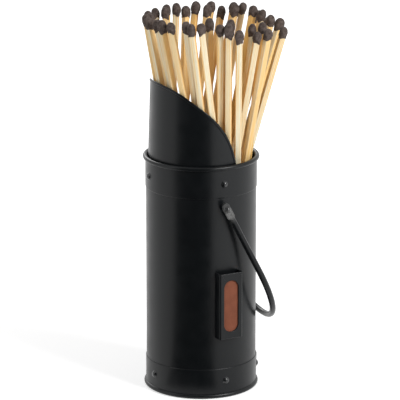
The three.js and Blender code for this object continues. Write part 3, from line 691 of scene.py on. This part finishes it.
side_outline = np.concatenate([fold_outer, [[side_x, wall_foot], [inner_x, wall_foot]], fold_inner])


def bar(section):
    """Sheets of a bar: its closed section carried along the columns, and a cap at each end. The second half
    of the section runs back beside the first, so a cap is the strip between them."""
    half = len(section) // 2
    caps = [np.stack([section[:half, end], section[half:, end][::-1]]) for end in (0, -1)]
    return [closed(section), *caps]


def plate(x, out, low, high):
    """Sheets of a flat plate between two places along the wall, two out from the axis and two heights."""
    corners = np.array([[x[0], out[0]], [x[1], out[0]], [x[1], out[1]], [x[0], out[1]]])
    return bar(facing_striker(corners[:, :1], corners[:, 1:], np.array([low, high])))


for side in (-1, 1):
    frame_sheets += bar(facing_striker(side * side_outline[:, :1], side_outline[:, 1:], frame_ends))
    for middle in TAB_MIDDLES:
        tab_low, tab_high = middle - TAB_HALF, middle + TAB_HALF
        frame_sheets += plate((side * inner_x, side * side_x), (TAB_END, wall_foot), tab_low, tab_high)
        lip_x = (side * (inner_x - TAB_LIP), side * inner_x)
        frame_sheets += plate(lip_x, (TAB_END, TAB_END + SHEET), tab_low, tab_high)
floor_x = np.linspace(-face_x, face_x, POCKET_FLOOR_STEPS)
floor_back = np.sqrt(TUBE_RADIUS**2 - floor_x**2)
floor_section = []
for fold in (fold_outer, fold_inner):
    floor_section.append(facing_striker(floor_x, fold[:, 1:], FRAME_FOOT + side_x - fold[:, :1]))
back_edges = [facing_striker(floor_x, floor_back, FRAME_FOOT + rise)[None] for rise in (0, SHEET)]
frame_sheets += bar(np.concatenate([floor_section[0], *back_edges, floor_section[1]]))
add_piece(mesh_of("striker_pocket", frame_sheets), [black_coat], "holder", "black_steel", "striker_frame")

# Striker card
# Brown striking surface: abrasive and red phosphorus in a binder, spread on card, with a stiff dark backing
# board behind it that holds it up against the window.
CARD_BROWN, CARD_DARK = (0.222, 0.077, 0.044), (0.145, 0.049, 0.029)
BOARD_PALE, BOARD_DARK = (0.030, 0.028, 0.026), (0.018, 0.017, 0.016)
CARD_GRAIN, BOARD_GRAIN, CLOUD_SCALE = 2600, 1200, 160
CLOUD_RANGE, CLOUD_SHARE = (0.35, 0.7), (0, 0.55)
SPECK_RANGE, SPECK_SHARE = (0.52, 0.75), (0, 0.8)
PAPER_ROUGHNESS = (0.95, 0.8)


def gritty_group(name, pale, dark, grain):
    """A matt sheet with fine grit: cloudy colour, small dark specks and a grainy surface."""
    tree, out = new_group(name, FINISH)
    place = tree.nodes.new("ShaderNodeTexCoord").outputs["Object"]
    clouds = ranged(tree, noise(tree, place, CLOUD_SCALE, detail=4), CLOUD_RANGE, CLOUD_SHARE)
    specks = noise(tree, place, grain, detail=3, roughness=0.7)
    specks = ranged(tree, specks, SPECK_RANGE, SPECK_SHARE)
    tree.links.new(between(tree, specks, between(tree, clouds, pale, dark), dark), out.inputs["Colour"])
    tree.links.new(ranged(tree, specks, (0, 1), PAPER_ROUGHNESS), out.inputs["Roughness"])
    tree.links.new(specks, out.inputs["Height"])
    return tree


card_group = gritty_group("striking_grit", CARD_BROWN, CARD_DARK, CARD_GRAIN)
board_group = gritty_group("board_fibre", BOARD_PALE, BOARD_DARK, BOARD_GRAIN)
PAPER_SPECULAR = 0.15
CARD_BUMP, CARD_DEPTH = 0.4, 0.15 * MM
BOARD_BUMP, BOARD_DEPTH = 0.2, 0.1 * MM
striking_paper = finish_from(card_group, "striking_paper", CARD_BUMP, CARD_DEPTH, PAPER_SPECULAR)
plain_board = finish_from(board_group, "plain_board", BOARD_BUMP, BOARD_DEPTH, PAPER_SPECULAR)
for node, finish in (("striker_card", striking_paper), ("striker_backing", plain_board)):
    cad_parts[node].data.materials.clear()
    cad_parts[node].data.materials.append(finish)

# Matches
# Long square sticks of pale aspen, split along the grain, each dipped in head compound that dried to a rough
# brown-grey egg and ran down the stick's edges. They stand loose in the tube and lean out over its mouth.
STICK_HALF = 2.2 * MM
STICK_EDGE = 0.28 * MM
HEAD_RADIUS, HEAD_LENGTH = 3.4 * MM, 8.8 * MM
HEAD_LIP = 0.25 * MM
DRIP = 0.55 * MM
MATCH_LENGTH = 280 * MM
STICK_ROWS, HEAD_ROWS, MATCH_SIDES = 8, 18, 32
MATCH_CREASE = 40
WOOD_PALE, WOOD_TAN, WOOD_STREAK = (0.86, 0.83, 0.65), (0.86, 0.52, 0.15), (0.60, 0.31, 0.09)
FACE_PAIR = 4 * STICK_HALF
UV_STEP = 12
STREAK_STRETCH, FLECK_STRETCH = (900, 14, 1), (2600, 120, 1)
STREAK_RANGE, FLECK_RANGE, FLECK_SHARE = (0.4, 0.75), (0.58, 0.8), (0, 0.5)
# Two opposite faces of each stick are drawn tan: painted shade for the stick's shaded side.
SHADED_FACE_TONE, SHADED_FACE_RANGE = 0.7, (-0.3, 0.3)
WOOD_ROUGHNESS = (0.62, 0.78)
HEAD_BROWN, HEAD_GREY = (0.047, 0.032, 0.027), (0.124, 0.096, 0.084)
HEAD_MOTTLE_SCALE, HEAD_MOTTLE_RANGE = 420, (0.35, 0.68)
HEAD_GRAIN_SCALE, HEAD_GRAIN_RANGE, HEAD_ROUGHNESS = 1500, (0.3, 0.7), (0.7, 0.95)
MATCH_SEED = 11
rng = np.random.default_rng(MATCH_SEED)


def wood_group():
    """Wood read along the stick's own UV: long pale and tan streaks, short darker flecks, and a tone that
    differs from stick to stick. A cosine round the stick makes two of its faces tan: painted shade that
    gives each stick a lit and a shaded side."""
    tree, out = new_group("split_aspen", FINISH)
    uv = tree.nodes.new("ShaderNodeUVMap").outputs["UV"]
    tone = tree.nodes.new("ShaderNodeAttribute")
    tone.attribute_name = "tone"
    grain = []
    for stretch in (STREAK_STRETCH, FLECK_STRETCH):
        mapping = tree.nodes.new("ShaderNodeMapping")
        mapping.inputs["Scale"].default_value = stretch
        tree.links.new(uv, mapping.inputs["Vector"])
        grain.append(noise(tree, mapping.outputs["Vector"], scale=1, detail=3, roughness=0.6))
    round_stick = tree.nodes.new("ShaderNodeSeparateXYZ")
    tree.links.new(uv, round_stick.inputs["Vector"])
    turn = calculated(tree, "MULTIPLY", round_stick.outputs["X"], 2 * math.pi / FACE_PAIR)
    # Painted shade: two opposite faces of the stick go tan.
    shaded_faces = ranged(tree, calculated(tree, "COSINE", turn), SHADED_FACE_RANGE, (SHADED_FACE_TONE, 0))
    tan = calculated(tree, "MAXIMUM", tone.outputs["Fac"], shaded_faces)
    streaks = ranged(tree, grain[0], STREAK_RANGE, (0, 1))
    flecks = ranged(tree, grain[1], FLECK_RANGE, FLECK_SHARE)
    body = between(tree, streaks, WOOD_PALE, WOOD_TAN)
    toned = between(tree, tan, body, WOOD_TAN)
    tree.links.new(between(tree, flecks, toned, WOOD_STREAK), out.inputs["Colour"])
    tree.links.new(ranged(tree, streaks, (0, 1), WOOD_ROUGHNESS), out.inputs["Roughness"])
    tree.links.new(grain[0], out.inputs["Height"])
    return tree


def head_group():
    """Dried head compound: brown-grey, mottled, with a coarse grain and small pits."""
    tree, out = new_group("head_compound", FINISH)
    place = tree.nodes.new("ShaderNodeTexCoord").outputs["Object"]
    mottle = noise(tree, place, HEAD_MOTTLE_SCALE, detail=4, roughness=0.6)
    mottle = ranged(tree, mottle, HEAD_MOTTLE_RANGE, (0, 1))
    grain = noise(tree, place, HEAD_GRAIN_SCALE, detail=3, roughness=0.65)
    tree.links.new(between(tree, mottle, HEAD_BROWN, HEAD_GREY), out.inputs["Colour"])
    tree.links.new(ranged(tree, grain, HEAD_GRAIN_RANGE, HEAD_ROUGHNESS), out.inputs["Roughness"])
    tree.links.new(grain, out.inputs["Height"])
    return tree


MATCH_SPECULAR = 0.3
WOOD_BUMP, WOOD_DEPTH = 0.35, 0.2 * MM
HEAD_BUMP, HEAD_DEPTH = 0.6, 0.35 * MM
match_wood = finish_from(wood_group(), "split_match_wood", WOOD_BUMP, WOOD_DEPTH, MATCH_SPECULAR)
match_head = finish_from(head_group(), "match_head_compound", HEAD_BUMP, HEAD_DEPTH, MATCH_SPECULAR)
FOOT_DEPTH = 0.5 * MM


def match_axis(node):
    """A match's foot and its direction, from the CAD node: the middle of its lowest ring and the long axis
    of its points."""
    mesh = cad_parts[node].data
    points = np.empty(3 * len(mesh.vertices))
    mesh.vertices.foreach_get("co", points)
    points = points.reshape(-1, 3)
    direction = np.linalg.svd(points - points.mean(axis=0), full_matrices=False)[2][0]
    direction *= np.sign(direction[2])
    along = points @ direction
    foot_points = points[along < along.min() + FOOT_DEPTH]
    return foot_points.mean(axis=0), direction


def square_reach(angle):
    """Distance from a stick's axis to its side in a direction: a square with rounded edges."""
    square = STICK_HALF / np.maximum(np.abs(np.cos(angle)), np.abs(np.sin(angle)))
    return np.minimum(square, math.sqrt(2) * STICK_HALF - STICK_EDGE)


HEAD_LENGTHS, HEAD_GIRTHS = (0.9, 1.12), (0.92, 1.04)
DRIP_WAVES = (1, 0.8)
LUMPS = (0.06, 0.05, 0.03)
LUMP_TWIST = (5, -9)
SWELL_LOW, SWELL_POWER = 0.85, 2.3
LIP_SHARE = 0.3


def match_sheets(foot, direction, number):
    """A match as rings along its axis: a square stick, then a head whose rings swell and close to a tip.
    Waves of two to five to the turn make the head lumpy and let its lower edge run down in drips."""
    roll = rng.uniform(0, math.pi / 2)
    waves = rng.uniform(0, 2 * math.pi, 5)
    length = HEAD_LENGTH * rng.uniform(*HEAD_LENGTHS)
    girth = rng.uniform(*HEAD_GIRTHS)
    angle = np.radians(np.linspace(0, 360, MATCH_SIDES + 1))
    stick = square_reach(angle)
    neck = MATCH_LENGTH - length
    drip = DRIP_WAVES[0] * np.sin(2 * angle + waves[0]) + DRIP_WAVES[1] * np.sin(3 * angle + waves[1])
    drip = DRIP * drip
    stick_height = np.append(0, np.linspace(0, 1, STICK_ROWS))[:, None] * (neck + drip)
    stick_reach = np.append(0, np.ones(STICK_ROWS))[:, None] * stick
    share = np.linspace(0, 1, HEAD_ROWS)[:, None]
    swell = np.sqrt(np.clip(1 - np.abs(2 * share**SWELL_LOW - 1) ** SWELL_POWER, 0, 1))
    lumps = LUMPS[0] * np.sin(2 * angle + waves[2])
    lumps = lumps + LUMPS[1] * np.sin(3 * angle + waves[3] + LUMP_TWIST[0] * share)
    lumps = lumps + LUMPS[2] * np.sin(5 * angle + waves[4] + LUMP_TWIST[1] * share)
    head_reach = HEAD_RADIUS * girth * swell * (1 + lumps)
    head_reach = np.maximum(head_reach, (stick + HEAD_LIP) * (share < LIP_SHARE))
    head_reach = np.concatenate([stick[None], head_reach[:-1], 0 * stick[None]])
    head_height = neck + share * length + drip * (1 - share) ** 2
    head_height = np.concatenate([neck + drip[None], head_height])
    side = np.cross(direction, (0, 1, 0))
    side /= np.linalg.norm(side)
    other = np.cross(direction, side)
    spoke = np.cos(angle + roll)[:, None] * side + np.sin(angle + roll)[:, None] * other
    around_stick = (angle / math.pi + UV_STEP * number) * FACE_PAIR
    sheets, uvs = [], []
    for reach, height in ((stick_reach, stick_height), (head_reach, head_height)):
        sheets.append(foot + reach[..., None] * spoke + height[..., None] * direction)
        uvs.append(np.stack(np.broadcast_arrays(around_stick, height), axis=-1))
    return sheets, uvs


match_nodes = sorted(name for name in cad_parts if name.startswith("match_"))
for number, node in enumerate(match_nodes):
    sheets, uvs = match_sheets(*match_axis(node), number)
    mesh = mesh_of(f"stick_{node[-2:]}", sheets, uvs, MATCH_CREASE)
    tone = mesh.attributes.new("tone", "FLOAT", "POINT")
    tone.data.foreach_set("value", np.full(len(mesh.vertices), rng.uniform(0, 1) ** 2))
    add_piece(mesh, [match_wood, match_head], node, "match_wood", node)

# Studio
# A plain white floor and surround, and three soft square lamps: the strongest from the right, one from the
# left and one from behind. The black coat mirrors a dark sheet on the camera's side, which shades nothing.
VIEW_AZIMUTH, VIEW_ELEVATION = math.radians(-24.5), math.radians(15.6)
view_right = np.array([math.cos(VIEW_AZIMUTH), math.sin(VIEW_AZIMUTH), 0])
view_front = np.array([math.sin(VIEW_AZIMUTH), -math.cos(VIEW_AZIMUTH), 0])
FLOOR_HALF, FLOOR_DROP, FLOOR_ROWS = 12.0, 0.05 * MM, 3
FLOOR_NEAR, FLOOR_FAR = 0.15, 1.2
FLOOR_GLOW, FLOOR_WHITE = (0.55, 0.86), 0.8
WORLD_LEVEL = 0.25
scene = bpy.context.scene
scene.view_settings.view_transform = "Standard"


def shown_rays(tree):
    """1 for what the camera sees, straight, mirrored or through glass, and 0 for light that bounces."""
    rays = tree.nodes.new("ShaderNodeLightPath")
    shown = rays.outputs["Is Camera Ray"]
    for kind in ("Is Glossy Ray", "Is Transmission Ray"):
        shown = calculated(tree, "MAXIMUM", shown, rays.outputs[kind])
    return shown


def on_stage(name, sheet, material):
    """A studio surface, which isn't part of the holder."""
    mesh = mesh_of(name, [sheet])
    mesh.materials.append(material)
    surface = bpy.data.objects.new(name, mesh)
    bpy.context.collection.objects.link(surface)
    return surface


floor_white = bpy.data.materials.new("floor_white")
floor_white.use_nodes = True
floor_tree = floor_white.node_tree
floor_tree.nodes.remove(floor_tree.nodes["Principled BSDF"])
paint = floor_tree.nodes.new("ShaderNodeBsdfDiffuse")
paint.inputs["Color"].default_value = (FLOOR_WHITE, FLOOR_WHITE, FLOOR_WHITE, 1)
glow = floor_tree.nodes.new("ShaderNodeEmission")
both = floor_tree.nodes.new("ShaderNodeAddShader")
distance = floor_tree.nodes.new("ShaderNodeVectorMath")
distance.operation = "LENGTH"
floor_tree.links.new(floor_tree.nodes.new("ShaderNodeTexCoord").outputs["Object"], distance.inputs[0])
floor_glow = ranged(floor_tree, distance.outputs["Value"], (FLOOR_NEAR, FLOOR_FAR), FLOOR_GLOW)
glow_level = calculated(floor_tree, "MULTIPLY", shown_rays(floor_tree), floor_glow)
floor_tree.links.new(glow_level, glow.inputs["Strength"])
floor_tree.links.new(paint.outputs[0], both.inputs[0])
floor_tree.links.new(glow.outputs[0], both.inputs[1])
floor_tree.links.new(both.outputs[0], floor_tree.nodes["Material Output"].inputs["Surface"])
floor_line = np.linspace(-FLOOR_HALF, FLOOR_HALF, FLOOR_ROWS)
floor_sheet = np.stack(np.broadcast_arrays(floor_line, floor_line[:, None], -FLOOR_DROP), axis=-1)
on_stage("studio_floor", floor_sheet, floor_white)

world = bpy.data.worlds.new("studio_surround")
scene.world = world
world.use_nodes = True
sky = world.node_tree
sky.nodes["Background"].inputs["Color"].default_value = (1, 1, 1, 1)
sky_level = ranged(sky, shown_rays(sky), (0, 1), (WORLD_LEVEL, 1))
sky.links.new(sky_level, sky.nodes["Background"].inputs["Strength"])

DARK_NEAR, DARK_FAR, DARK_HEIGHT = 0.06, 0.9, 1.6
DARK_FROM, DARK_TO = -54, 22
DARK_CLOTH = (0.012, 0.012, 0.012, 1)
DARK_LIFT, DARK_STEPS = 1 * MM, 25
dark_outline = np.array([[DARK_NEAR, DARK_LIFT], [DARK_FAR, DARK_LIFT], [DARK_FAR, DARK_HEIGHT]])
dark_turn = np.radians(np.linspace(DARK_FROM, DARK_TO, DARK_STEPS)) + VIEW_AZIMUTH
dark_cloth = bpy.data.materials.new("dark_cloth")
dark_cloth.use_nodes = True
dark_cloth.node_tree.nodes["Principled BSDF"].inputs["Base Color"].default_value = DARK_CLOTH
dark_sheet = on_stage("dark_sheet", turned(dark_outline, dark_turn), dark_cloth)
dark_sheet.visible_camera = False
dark_sheet.visible_diffuse = False
dark_sheet.visible_shadow = False
LAMP_AIM = 0.15


def soft_lamp(name, right, front, up, size, watts):
    """A square area lamp at a place given from the camera's side, aimed at the middle of the holder."""
    data = bpy.data.lights.new(name, "AREA")
    data.size = size
    data.energy = watts
    lamp = bpy.data.objects.new(name, data)
    bpy.context.collection.objects.link(lamp)
    place = right * view_right + front * view_front + np.array([0, 0, up])
    lamp.location = place
    lamp.rotation_euler = Vector((0, 0, LAMP_AIM) - place).to_track_quat("-Z", "Y").to_euler()


soft_lamp("key_lamp", right=0.85, front=0.7, up=0.8, size=0.45, watts=13)
soft_lamp("fill_lamp", right=-0.8, front=0.8, up=0.6, size=0.8, watts=4)
soft_lamp("back_lamp", right=-0.4, front=-1.0, up=0.8, size=0.6, watts=5)

# Camera
# The photograph's viewpoint: a long lens a little to the left of the front, looking down at the holder from
# far enough away that the tube's sides look almost parallel.
CAMERA_DISTANCE = 2.2
CAMERA_AIM_HEIGHT, CAMERA_AIM_RIGHT = 138.65 * MM, -0.8 * MM
CAMERA_LENS, CAMERA_SENSOR = 272.9, 36.0
camera_data = bpy.data.cameras.new("camera")
camera_data.lens = CAMERA_LENS
camera_data.sensor_width = CAMERA_SENSOR
camera = bpy.data.objects.new("camera", camera_data)
bpy.context.collection.objects.link(camera)
back = view_front * math.cos(VIEW_ELEVATION) + np.array([0, 0, math.sin(VIEW_ELEVATION)])
aim = CAMERA_AIM_RIGHT * view_right + np.array([0, 0, CAMERA_AIM_HEIGHT])
camera.location = aim + CAMERA_DISTANCE * back
camera.rotation_euler = (math.pi / 2 - VIEW_ELEVATION, 0, VIEW_AZIMUTH)
scene.camera = camera
